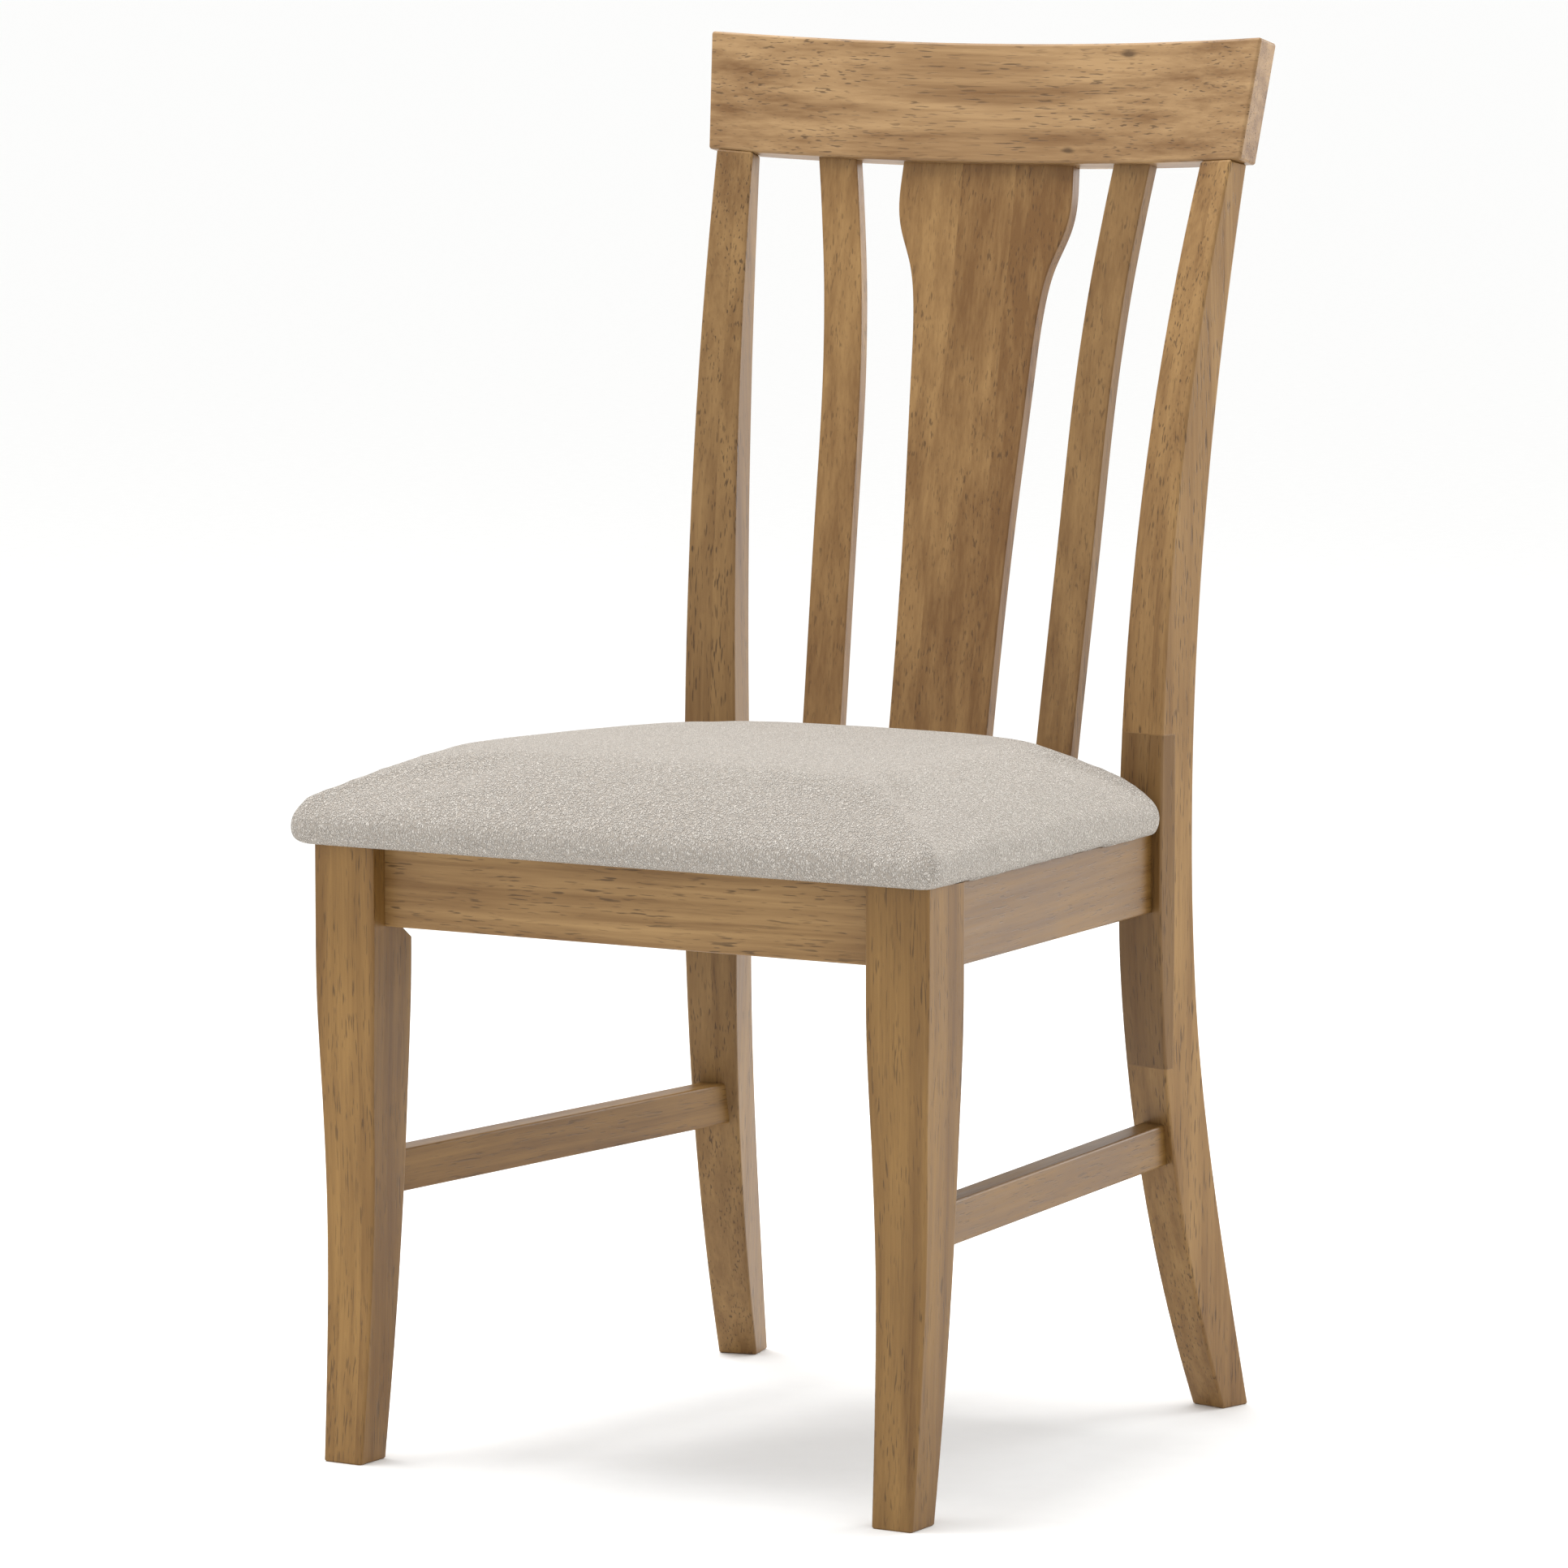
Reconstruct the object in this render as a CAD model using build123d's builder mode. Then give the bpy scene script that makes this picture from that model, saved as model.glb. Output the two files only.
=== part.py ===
"""Dining chair with curved rear posts, a vase-shaped splat, two slats and an upholstered seat.

Frame: +Z up, the floor is Z = 0, the sitter faces -Y and X = 0 is the plane of symmetry.
Left and right are as seen from the front, so the right-hand pieces stand at +X.
Each right-hand piece is made where it stands and its twin is its mirror image.
All sizes are in millimetres.
"""
from math import asin, cos, degrees, radians, sin, tan
import os

from build123d import *

os.makedirs("parts", exist_ok=True)

# ---- Driving dimensions -------------------------------------------------------------

# Seat frame
leg_outer_x = 253.0            # half the width over the front legs
leg_size = 50.5                # square section of a front leg at the seat
post_set_back = 428.4          # front face of the legs to the front face of the posts
seat_front_z = 447.0           # top of the seat rails at the front face of the legs
seat_slope = 1.35              # degrees, the rails fall towards the back
rail_height = 58.5
rail_thick = 22.0
front_rail_recess = 15.4       # front face of the front rail behind the legs
side_rail_in_front = 4.5       # outer face of a side rail inside the outer face of the leg
side_rail_out_rear = 8.0       # outer face of a side rail outside the middle of the post
rear_rail_set_in = 6.0         # front face of the rear rail behind the front of the posts
rail_round = 1.5

# Front legs
leg_foot_taper = 18.1          # how much narrower than at the seat, at the floor
leg_knee_z = 350.0             # the legs are parallel above this height
leg_shin_z = 265.0             # below this height the sides run straight to the foot
leg_shin_taper = 6.1           # how much narrower than at the seat, at that height
leg_front_knee = (4.9, 200.0)  # how far the front face draws back, and where
leg_toe_out = 6.1              # how far it comes forward at the floor
leg_rear_knee = (4.1, 200.0)   # the same two sizes for the rear face
leg_rear_ankle = (12.1, 100.0)
front_foot_way = (-0.09, -1.0) # slope of the front face where it reaches the floor
rear_foot_way = (0.14, 1.0)    # slope of the rear face where it leaves the floor
leg_side_radius = 1500.0
leg_round = 2.0
block_chamfer = 12.0           # flat on the leg's inner corner, for the corner block
chamfer_below_rail = 4.0
foot_ease = 1.2

# Rear posts, each sawn to a curve and turned out towards the back
post_x = 188.0                 # middle of the post's front face at the seat
post_turn = 13.2               # degrees
post_land_low = 385.0          # the front face is straight between these two heights
post_land_high = 450.0
front_radius_up = 1550.0
front_radius_down = 1005.0
post_waist_z = 440.0           # height at which the rear face is upright
post_waist_depth = 36.0
post_low_depths = ((0.0, 28.3), (0.32, 41.0), (0.63, 40.0))    # share of the waist's height, depth
post_high_depths = ((0.46, 34.7), (0.76, 28.9), (1.0, 19.7))   # share of the way to the crest rail, depth
post_flare_z = 350.0           # the post's sides are parallel from here to post_land_high
post_inner = (15.9, 24.7, 13.9)    # inner half width at the foot, the seat and the top
post_outer = (14.6, 16.9, 14.9)    # outer half width at the same places
post_inner_radius = 1400.0     # how softly the tapers meet the straight part
post_outer_radius = 2500.0
post_round = 2.0
post_top_ease = 1.5
post_tongue_size = (17.0, 8.0) # width and thickness of the tongue in the crest rail

# Crest rail, bent to an arc and leaned back
crest_base_z = 927.4           # lower front edge at the rail's ends
crest_proud = 1.3              # its front face ahead of the posts' front faces
crest_lean = 12.0              # degrees
crest_height = 90.3
crest_thick = 26.0
crest_past_post = 22.0         # lower corner beyond the middle of the post
crest_end_flare = 7.8          # how much longer the rail is at its upper edge, at each end
crest_sag = 25.0               # depth of the bend
crest_dip = 2.5                # how far both long edges hang in the middle
crest_round = 2.2

# Splat and slats
slat_thick = 11.5
slat_width = 31.6
slat_turn = 4.5                # degrees, each slat follows the bend of the crest rail
slat_round = 1.2
slat_recess = 7.2              # front faces behind the face of the crest rail
slat_root_shift = 2.0          # middle of a board behind the middle of the rear rail
splat_root_half = 41.8
splat_vase = ((45.4, 266), (50.3, 160), (53.8, 106), (59.9, 76),
              (71.3, 46), (73.8, 28), (72.8, 0))    # half width, distance below the crest rail
slat_root_x = 98.8             # middle of a slat at the rear rail
slat_flare = ((104.6, 265), (107.8, 162), (110.5, 123), (114.4, 83),
              (118.4, 52), (122.6, 22), (126.0, 0))    # middle, distance below the crest rail
tenon_length = 14.0
tenon_shoulder = 2.0           # the tenon is this much smaller all round
fit_gap = 0.15                 # glue gap round tenons and dowels

# Stretchers
stretcher_top_z = 220.3
stretcher_height = 31.0
stretcher_thick = 20.0
stretcher_in_front = 15.0      # outer face inside the outer face of the leg
stretcher_out_rear = 12.5      # outer face outside the middle of the post
stretcher_round = 2.0

# Corner blocks and hardware
front_block_depth = 40.0       # along the hanger bolt
front_block_height = 40.0
rear_block_depth = 34.0        # from the post's inner corner to the block's free face
rear_block_height = 36.0
rear_block_turn = 50.0         # degrees, the free face's normal from the X axis
block_drop = 5.0               # top of a block below the top of the rails
bolt_clearance = 0.5
front_screw_in = (38.0, 44.0)  # the front block's screws from the leg, along the front and the side rail
rear_screw_in = (32.0, 43.0)   # the rear block's screws from the post, along the rear and the side rail
front_seat_screw = (6.0, 22.0) # from the leg's inner and rear faces
rear_seat_screw = (9.0, 15.0)  # from the post's inner front corner
dowel_size = (8.0, 30.0)       # diameter and length
front_dowel_drops = (12.0, 46.0)   # below the top of the rails, at each of the four joints
leg_dowel_drops = (20.0, 38.0)
post_dowel_drops = (18.0, 46.0)
rear_dowel_drops = (10.0, 32.0)
bolt_size = 8.0
bolt_in_leg = 30.0
bolt_spare = 4.0
washer_size = (20.0, 1.6)
nut_size = (13.0, 6.5)         # across the flats, height
screw_size = 4.0
screw_head = (8.0, 3.0)        # diameter, height
driver_clearance = 0.5
screw_in_rail = 14.0
screw_wood = 8.0               # thickness of block under a screw's head
screw_spread = 9.0             # the two screws stand this far above and below the block's middle
seat_screw_in_board = 9.0
seat_screw_pocket = 10.0

# Upholstered seat
seat_front_overhang = 17.0     # beyond the front face of the legs
seat_front_side = 13.0         # beyond the outer face of the legs
seat_rear_side = 12.0          # beyond the outer face of the side rails, at the posts
seat_height = 62.0             # cushion above the rails
seat_post_gap = 2.5
seat_front_corner = 26.0       # plan radius
seat_top_roll = 24.0
seat_low_roll = 7.0
cover_thick = 1.5
board_thick = 12.0
board_inset = 9.0
cover_hem = 34.0               # width of cloth turned under the board
dust_cover_thick = 0.6
dust_cover_gap = 4.0           # inside the rails

# ---- Worked-out places --------------------------------------------------------------

turn = radians(post_turn)
lean = radians(crest_lean)
fall = tan(radians(seat_slope))


def arc_bow(radius, rise):
    """How far an arc has left its tangent after a rise along it."""
    return radius - (radius ** 2 - rise ** 2) ** 0.5


# The crest rail stands where the posts' curved front faces arrive at its height.
post_top_bow = arc_bow(front_radius_up, crest_base_z - post_land_high)
post_top_x = post_x + post_top_bow * sin(turn)
post_top_z = crest_base_z + crest_thick * sin(lean)
crest_half_low = post_top_x + crest_past_post
crest_half_high = crest_half_low + crest_end_flare
crest_bend_at_post = crest_sag * (1 - (post_top_x / crest_half_low) ** 2)
crest_set_back = post_set_back + post_top_bow * cos(turn) - crest_proud - crest_bend_at_post * cos(lean)

# The overall depth runs from the cushion's front to the top of the crest rail's back,
# and the origin is in the middle of it.
crest_back = crest_set_back + crest_height * sin(lean) + (crest_sag + crest_thick) * cos(lean)
y_front = -(crest_back - seat_front_overhang) / 2
y_post = y_front + post_set_back

leg_x = leg_outer_x - leg_size / 2
leg_inner_x = leg_outer_x - leg_size
y_leg_rear = y_front + leg_size
y_front_rail = y_front + front_rail_recess
y_rear_rail = y_post + rear_rail_set_in
side_rail_front_x = leg_outer_x - side_rail_in_front
side_rail_rear_x = post_x + side_rail_out_rear
stretcher_front_x = leg_outer_x - stretcher_in_front
stretcher_rear_x = post_x + stretcher_out_rear

seat_plane = Plane((0, y_front, seat_front_z), x_dir=(1, 0, 0), z_dir=(0, sin(radians(seat_slope)), 1))
post_side = Plane((post_x, y_post, 0), x_dir=(sin(turn), cos(turn), 0), z_dir=(cos(turn), -sin(turn), 0))
post_face = Plane((post_x, y_post, 0), x_dir=(cos(turn), -sin(turn), 0), z_dir=(-sin(turn), -cos(turn), 0))
leg_side = Plane((leg_x, y_front, 0), x_dir=(0, 1, 0), z_dir=(1, 0, 0))
leg_front = Plane((leg_x, y_front, 0), x_dir=(1, 0, 0), z_dir=(0, -1, 0))


def seat_z(y):
    """Height of the top of the rails at a distance front to back."""
    return seat_front_z - (y - y_front) * fall


def post_face_y(x):
    """Front face of the right-hand post at the seat."""
    return y_post - (x - post_x) * tan(turn)


def save(piece, name):
    """Name a finished piece and write it."""
    piece.part.label = name
    export_step(piece.part, f"parts/{name}.step")


def edges_along(part, way, least=0.9):
    """The edges that run much the same way as a direction."""
    return part.edges().filter_by(lambda e: abs((e % 0.5).dot(way)) > least)


def long_edges(part):
    """The edges that run along an upright piece."""
    return edges_along(part, Vector(0, 0, 1), 0.7)


# ---- Front legs ---------------------------------------------------------------------

toe_y = -leg_toe_out
leg_foot_size = leg_size - leg_foot_taper
leg_shin_size = leg_size - leg_shin_taper
front_knee, front_knee_z = leg_front_knee
rear_knee, rear_knee_z = leg_rear_knee
ankle, ankle_z = leg_rear_ankle
leg_sides = ((leg_foot_size / 2, 0), (leg_shin_size / 2, leg_shin_z), (leg_size / 2, leg_knee_z),
             (leg_size / 2, seat_front_z))
with BuildPart() as leg_blank:
    with BuildSketch(leg_side):
        with BuildLine():
            Spline((0, leg_knee_z), (front_knee, front_knee_z), (toe_y, 0),
                   tangents=[(0, -1), front_foot_way])
            Line((toe_y, 0), (toe_y + leg_foot_size, 0))
            Spline((toe_y + leg_foot_size, 0), (leg_size - ankle, ankle_z),
                   (leg_size - rear_knee, rear_knee_z), (leg_size, leg_knee_z),
                   tangents=[rear_foot_way, (0, 1)])
            Polyline((leg_size, leg_knee_z), (leg_size, seat_front_z), (0, seat_front_z), (0, leg_knee_z))
        make_face()
    extrude(amount=leg_size, both=True)
    with BuildSketch(leg_front):
        with BuildLine():
            right = FilletPolyline(*leg_sides, radius=leg_side_radius)
            left = FilletPolyline(*[(-x, z) for x, z in leg_sides], radius=leg_side_radius)
            Line(right @ 0, left @ 0)
            Line(right @ 1, left @ 1)
        make_face()
    extrude(amount=2 * leg_size, both=True, mode=Mode.INTERSECT)
    fillet(long_edges(leg_blank), leg_round)
    split(bisect_by=seat_plane, keep=Keep.BOTTOM)

# ---- Rear posts ---------------------------------------------------------------------


def post_front(z):
    """How far behind its straight part the post's front face is at a height."""
    if z > post_land_high:
        return arc_bow(front_radius_up, z - post_land_high)
    return arc_bow(front_radius_down, max(post_land_low - z, 0))


def post_rear_points():
    """The post's rear face in side view, from the floor to its top."""
    depths = [(share * post_waist_z, depth) for share, depth in post_low_depths]
    depths.append((post_waist_z, post_waist_depth))
    for share, depth in post_high_depths:
        depths.append((post_waist_z + share * (crest_base_z - post_waist_z), depth))
    return [(post_front(z) + depth, z) for z, depth in depths]


def post_edge(halves, side):
    """One long edge of the post's front face."""
    foot, seat, top = halves
    return [(side * half, z) for half, z in
            ((foot, 0), (seat, post_flare_z), (seat, post_land_high), (top, post_top_z))]


with BuildPart() as post_blank:
    with BuildSketch(post_side):
        with BuildLine():
            heel_angle = degrees(asin(post_land_low / front_radius_down))
            crown_angle = degrees(asin((post_top_z - post_land_high) / front_radius_up))
            front_low = JernArc((0, post_land_low), (0, -1), front_radius_down, heel_angle)
            Line((0, post_land_low), (0, post_land_high))
            front_up = JernArc((0, post_land_high), (0, 1), front_radius_up, -crown_angle)
            rear = Spline(*post_rear_points())
            rear_top = rear @ 1 + (rear % 1) * ((post_top_z - crest_base_z) / (rear % 1).Y)
            Polyline(rear @ 1, rear_top, front_up @ 1)
            Line(rear @ 0, front_low @ 1)
        make_face()
    extrude(amount=leg_size, both=True)
    with BuildSketch(post_face):
        with BuildLine():
            inner = FilletPolyline(*post_edge(post_inner, -1), radius=post_inner_radius)
            outer = FilletPolyline(*post_edge(post_outer, 1), radius=post_outer_radius)
            Line(inner @ 0, outer @ 0)
            Line(inner @ 1, outer @ 1)
        make_face()
    extrude(amount=2 * post_top_bow + leg_size, both=True, mode=Mode.INTERSECT)
    fillet(long_edges(post_blank), post_round)

# ---- Crest rail ---------------------------------------------------------------------

crest_up = Vector(0, sin(lean), cos(lean))
crest_root = Vector(0, y_front + crest_set_back, crest_base_z)
crest_plan = Plane(crest_root, x_dir=(1, 0, 0), z_dir=crest_up)
crest_front = Plane(crest_root, x_dir=(1, 0, 0), z_dir=(0, -cos(lean), sin(lean)))


def crest_edge(x, behind):
    """A point on the rail's lower edge, at a distance behind its front face."""
    bend = 1 - (x / crest_half_low) ** 2
    return crest_plan.from_local_coords(Vector(x, crest_sag * bend + behind, -crest_dip * bend))


with BuildPart() as crest_blank:
    with BuildSketch(crest_plan.offset(-2 * crest_dip)):
        with BuildLine():
            reach = crest_half_high + crest_round
            near = ThreePointArc((-reach, 0), (0, crest_sag), (reach, 0))
            far = ThreePointArc((-reach, crest_thick), (0, crest_sag + crest_thick), (reach, crest_thick))
            Line(near @ 0, far @ 0)
            Line(near @ 1, far @ 1)
        make_face()
    extrude(amount=crest_height + 4 * crest_dip)
    with BuildSketch(crest_front):
        with BuildLine():
            low = ThreePointArc((-crest_half_low, 0), (0, -crest_dip), (crest_half_low, 0))
            high = ThreePointArc((-crest_half_high, crest_height), (0, crest_height - crest_dip),
                                 (crest_half_high, crest_height))
            Line(low @ 0, high @ 0)
            Line(low @ 1, high @ 1)
        make_face()
    extrude(amount=4 * crest_thick, both=True, mode=Mode.INTERSECT)
    fillet(crest_blank.edges(), crest_round)

# Everything above the crest rail's lower face, which the posts are cut to.
with BuildPart() as above_posts:
    with BuildSketch(crest_front):
        with BuildLine():
            ThreePointArc(low @ 0, low @ 0.5, low @ 1)
            Polyline(low @ 0, (-crest_half_low, crest_height), (crest_half_low, crest_height), low @ 1)
        make_face()
    extrude(amount=4 * crest_thick, both=True)

# ---- Seat rails ---------------------------------------------------------------------

rail_floor = seat_plane.offset(-rail_height)
y_side_rear = post_face_y(side_rail_rear_x)
side_run = Vector(side_rail_rear_x - side_rail_front_x, y_side_rear - y_leg_rear, 0)
side_inner = Vector(-side_run.Y, side_run.X, 0).normalized()
side_rail_plane = Plane(((side_rail_front_x + side_rail_rear_x) / 2, (y_leg_rear + y_side_rear) / 2, 0),
                        x_dir=side_run.normalized(), z_dir=(0, 0, 1))


def rail_blank(width, plane):
    """A rail of the seat frame, trimmed to the slope of the seat, with its long edges eased."""
    with BuildPart() as blank:
        with BuildSketch(plane):
            Rectangle(width, rail_thick, align=(Align.CENTER, Align.MIN))
        extrude(amount=2 * seat_front_z)
        split(bisect_by=seat_plane, keep=Keep.BOTTOM)
        split(bisect_by=rail_floor, keep=Keep.TOP)
        fillet(edges_along(blank, plane.x_dir), rail_round)
    return blank.part


def dowel_places():
    """Middle of each dowel and the way it points, for the right-hand half of the frame."""
    front_y = y_front_rail + rail_thick / 2
    rear_y = y_rear_rail + rail_thick / 2
    front_joint = Vector(side_rail_front_x, y_leg_rear, 0) + side_inner * rail_thick / 2
    rear_joint = Vector(side_rail_rear_x, y_side_rear, 0) + side_inner * rail_thick / 2
    rear_joint = Vector(rear_joint.X, post_face_y(rear_joint.X), 0)
    rear_end = Vector(post_x - post_inner[1] * cos(turn), rear_y, 0)
    joints = (
        (Vector(leg_inner_x, front_y, 0), Vector(1, 0, 0), front_dowel_drops),
        (front_joint, side_run.normalized(), leg_dowel_drops),
        (rear_joint, side_run.normalized(), post_dowel_drops),
        (rear_end, Vector(1, 0, 0), rear_dowel_drops),
    )
    for joint, way, drops in joints:
        for drop in drops:
            yield Plane((joint.X, joint.Y, seat_z(joint.Y) - drop), z_dir=way)


def dowels(gap=0.0, mode=Mode.ADD):
    """The frame's dowels, or with a gap the holes that they are glued into."""
    diameter, length = dowel_size
    for place in dowel_places():
        with Locations(place.location):
            Cylinder(diameter / 2 + gap, length + 2 * gap, mode=mode)


front_rail_plane = Plane((0, y_front_rail, 0))
rear_rail_plane = Plane((0, y_rear_rail, 0))
front_rail_half = rail_blank(2 * leg_inner_x, front_rail_plane)
rear_rail_half = rail_blank(2 * (post_x - post_inner[1] / 2), rear_rail_plane)
side_rail_long = rail_blank(side_run.length + 4 * rail_thick, side_rail_plane)

with BuildPart() as side_rail:
    add(side_rail_long)
    split(bisect_by=Plane((0, y_leg_rear, 0), x_dir=(1, 0, 0), z_dir=(0, 1, 0)), keep=Keep.TOP)
    split(bisect_by=post_face, keep=Keep.TOP)

# ---- Splat and slats ----------------------------------------------------------------

y_slat_root = y_rear_rail + (rail_thick - slat_thick) / 2 + slat_root_shift


def board_plane(root_x, top_x, turned):
    """Front face of a board that stands on the rear rail and leans back under the crest rail."""
    root = Vector(root_x, y_slat_root, seat_z(y_slat_root))
    across = Vector(cos(radians(turned)), -sin(radians(turned)), 0)
    rise = crest_edge(top_x, slat_recess) - root
    upward = (rise - across * rise.dot(across)).normalized()
    return Plane(root, x_dir=across, z_dir=across.cross(upward)), rise.dot(upward)


def board_blank(plane, left, right):
    """A board between two edges, run on into both rails, with its long edges eased."""
    with BuildPart() as blank:
        with BuildSketch(plane):
            with BuildLine():
                ends = []
                for points in (left, right):
                    top_way = Vector(*points[-1]) - Vector(*points[-2])
                    edge = Spline(points, tangents=[(0, 1), (top_way.X, top_way.Y)])
                    low = Line(edge @ 0, (edge @ 0) - Vector(0, tenon_length))
                    high = Line(edge @ 1, (edge @ 1) + Vector(0, tenon_length))
                    ends.append((low @ 1, high @ 1))
                Line(ends[0][0], ends[1][0])
                Line(ends[0][1], ends[1][1])
            make_face()
        extrude(amount=-slat_thick)
        fillet(long_edges(blank), slat_round)
    return blank.part


def tongue(plane, x, low, high, width, gap=0.0, mode=Mode.ADD):
    """A flat tongue inside a board's thickness, or with a gap the pocket that it fits."""
    across = width - 2 * tenon_shoulder + 2 * gap
    through = slat_thick - 2 * tenon_shoulder + 2 * gap
    middle = plane.location * Location((x, (low + high) / 2, -slat_thick / 2))
    with Locations(middle):
        Box(across, high - low + 2 * gap, through, mode=mode)


splat_plane, splat_length = board_plane(0, 0, 0)
splat_right = [(splat_root_half, 0)] + [(half, splat_length - down) for half, down in splat_vase]
splat_left = [(-half, up) for half, up in splat_right]
splat_blank = board_blank(splat_plane, splat_left, splat_right)

slat_plane, slat_length = board_plane(slat_root_x, slat_flare[-1][0], slat_turn)


def slat_edge(side):
    """One long edge of a slat, in the plane of its front face."""
    points = [(0, 0)]
    for x, down in slat_flare:
        up = slat_length - down
        points.append(((x - slat_root_x - up * slat_plane.y_dir.X) / slat_plane.x_dir.X, up))
    return [(x + side * slat_width / 2, up) for x, up in points]


slat_blank = board_blank(slat_plane, slat_edge(-1), slat_edge(1))
slat_top_x = slat_edge(0)[-1][0]


def splat_tongues(gap=0.0, mode=Mode.ADD):
    """The splat's tongues, or the pockets for them in the two rails."""
    low, high = splat_length - tenon_length, splat_length + tenon_length
    tongue(splat_plane, 0, -tenon_length, tenon_length, 2 * splat_root_half, gap, mode)
    tongue(splat_plane, 0, low, high, 2 * splat_vase[-1][0], gap, mode)


def slat_tongues(gap=0.0, mode=Mode.ADD):
    """The right-hand slat's tongues, or the pockets for them in the two rails."""
    tongue(slat_plane, 0, -tenon_length, tenon_length, slat_width, gap, mode)
    low, high = slat_length - tenon_length, slat_length + tenon_length
    tongue(slat_plane, slat_top_x, low, high, slat_width, gap, mode)


with BuildPart() as centre_splat:
    add(splat_blank)
    add(crest_blank, mode=Mode.SUBTRACT)
    add(rear_rail_half, mode=Mode.SUBTRACT)
    splat_tongues()

with BuildPart() as side_slat:
    add(slat_blank)
    add(crest_blank, mode=Mode.SUBTRACT)
    add(rear_rail_half, mode=Mode.SUBTRACT)
    slat_tongues()

# ---- Side stretchers ----------------------------------------------------------------

leg_rear_low = y_leg_rear - rear_knee
stretcher_middle_z = stretcher_top_z - stretcher_height / 2
y_stretcher_rear = post_face_y(stretcher_rear_x) + post_front(stretcher_middle_z) / cos(turn)
stretcher_start = Vector(stretcher_front_x, leg_rear_low, stretcher_top_z)
stretcher_end = Vector(stretcher_rear_x, y_stretcher_rear, stretcher_top_z)
stretcher_run = stretcher_end - stretcher_start
stretcher_plane = Plane(stretcher_start, x_dir=stretcher_run.normalized(), z_dir=(0, 0, 1))
stretcher_tenon = (2 * tenon_length, stretcher_thick / 2, stretcher_height - 4 * tenon_shoulder)


def stretcher_tenons(gap=0.0, mode=Mode.ADD):
    """The right-hand stretcher's two tenons, or the mortises for them."""
    length, thick, height = stretcher_tenon
    for along in (0, stretcher_run.length):
        place = stretcher_plane.location * Location((along, stretcher_thick / 2, -stretcher_height / 2))
        with Locations(place):
            Box(length + 2 * gap, thick + 2 * gap, height + 2 * gap, mode=mode)


with BuildPart() as side_stretcher:
    with BuildSketch(stretcher_plane):
        with Locations((-tenon_length, 0)):
            Rectangle(stretcher_run.length + 2 * tenon_length, stretcher_thick, align=Align.MIN)
    extrude(amount=-stretcher_height)
    fillet(edges_along(side_stretcher, stretcher_plane.x_dir), stretcher_round)
    add(leg_blank, mode=Mode.SUBTRACT)
    add(post_blank, mode=Mode.SUBTRACT)
    stretcher_tenons()

# ---- Corner blocks and their hardware -----------------------------------------------

inner_rail_face = Plane((side_rail_front_x, y_leg_rear, 0) + side_inner * rail_thick, z_dir=side_inner)
front_rail_face = Plane((0, y_front_rail + rail_thick, 0), z_dir=(0, 1, 0))
rear_rail_face = Plane((0, y_rear_rail, 0), z_dir=(0, -1, 0))
front_block_top = seat_z(y_leg_rear + 1.5 * front_block_depth) - block_drop
rear_block_top = seat_z(y_rear_rail) - block_drop

# The hanger bolt stands square to the flat on the leg's inner corner.
bolt_z = front_block_top - front_block_height / 2
flat_x = leg_inner_x + block_chamfer / 2
flat_y = y_leg_rear - block_chamfer / 2
bolt_plane = Plane((flat_x, flat_y, bolt_z), z_dir=(-1, 1, 0))
post_corner = post_face.from_local_coords(Vector(-post_inner[1], 0, 0))
rear_turn = radians(rear_block_turn)
rear_block_plane = Plane((post_corner.X, post_corner.Y, rear_block_top),
                         x_dir=(sin(rear_turn), -cos(rear_turn), 0), z_dir=(0, 0, 1))
front_block_plane = Plane((flat_x, flat_y, front_block_top), x_dir=(1, 1, 0), z_dir=(0, 0, 1))


def side_face_x(y):
    """Inner face of the right-hand side rail."""
    return inner_rail_face.origin.X + (y - inner_rail_face.origin.Y) * side_run.X / side_run.Y


def block_screw_places():
    """Where the block screws cross the rails' inner faces, and the way they point."""
    for y, top, height, rail_x, rail_face, side_y in (
        (y_front_rail + rail_thick, front_block_top, front_block_height,
         leg_inner_x - front_screw_in[0], -1, y_leg_rear + front_screw_in[1]),
        (y_rear_rail, rear_block_top, rear_block_height,
         post_corner.X - rear_screw_in[0], 1, post_corner.Y - rear_screw_in[1]),
    ):
        for step in (-screw_spread, screw_spread):
            z = top - height / 2 + step
            yield Plane((rail_x, y, z), z_dir=(0, rail_face, 0))
            yield Plane((side_face_x(side_y), side_y, z), z_dir=side_inner * -1)


def seat_screw_places():
    """Where the seat screws enter the board, and the depth of each screw's head below it."""
    for x, y, top, height in (
        (leg_inner_x + front_seat_screw[0], y_leg_rear + front_seat_screw[1],
         front_block_top, front_block_height),
        (post_corner.X - rear_seat_screw[0], post_corner.Y - rear_seat_screw[1],
         rear_block_top, rear_block_height),
    ):
        board_z = seat_z(y) + cover_thick
        yield Plane((x, y, board_z)), board_z - (top - height + seat_screw_pocket)


def one_screw(place, depth, bite, pocket=0.0, mode=Mode.ADD):
    """A screw whose head seats at a depth behind the place and whose point bites beyond it."""
    head, head_height = screw_head
    low = (Align.CENTER, Align.CENTER, Align.MIN)
    with Locations(place.location * Location((0, 0, -depth))):
        Cylinder(screw_size / 2, depth + bite, align=low, mode=mode)
    with Locations(place.location * Location((0, 0, -depth - head_height - pocket))):
        Cylinder(head / 2 + (driver_clearance if pocket else 0), head_height + pocket, align=low, mode=mode)


def block_screws(pocket=0.0, mode=Mode.ADD):
    """The screws through the corner blocks into the rails, with room for a driver behind each head."""
    for place in block_screw_places():
        one_screw(place, screw_wood, screw_in_rail, pocket, mode)


def seat_screws(pocket=0.0, mode=Mode.ADD):
    """The screws through the corner blocks up into the seat board."""
    for place, depth in seat_screw_places():
        one_screw(place, depth, seat_screw_in_board, pocket, mode)


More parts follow.
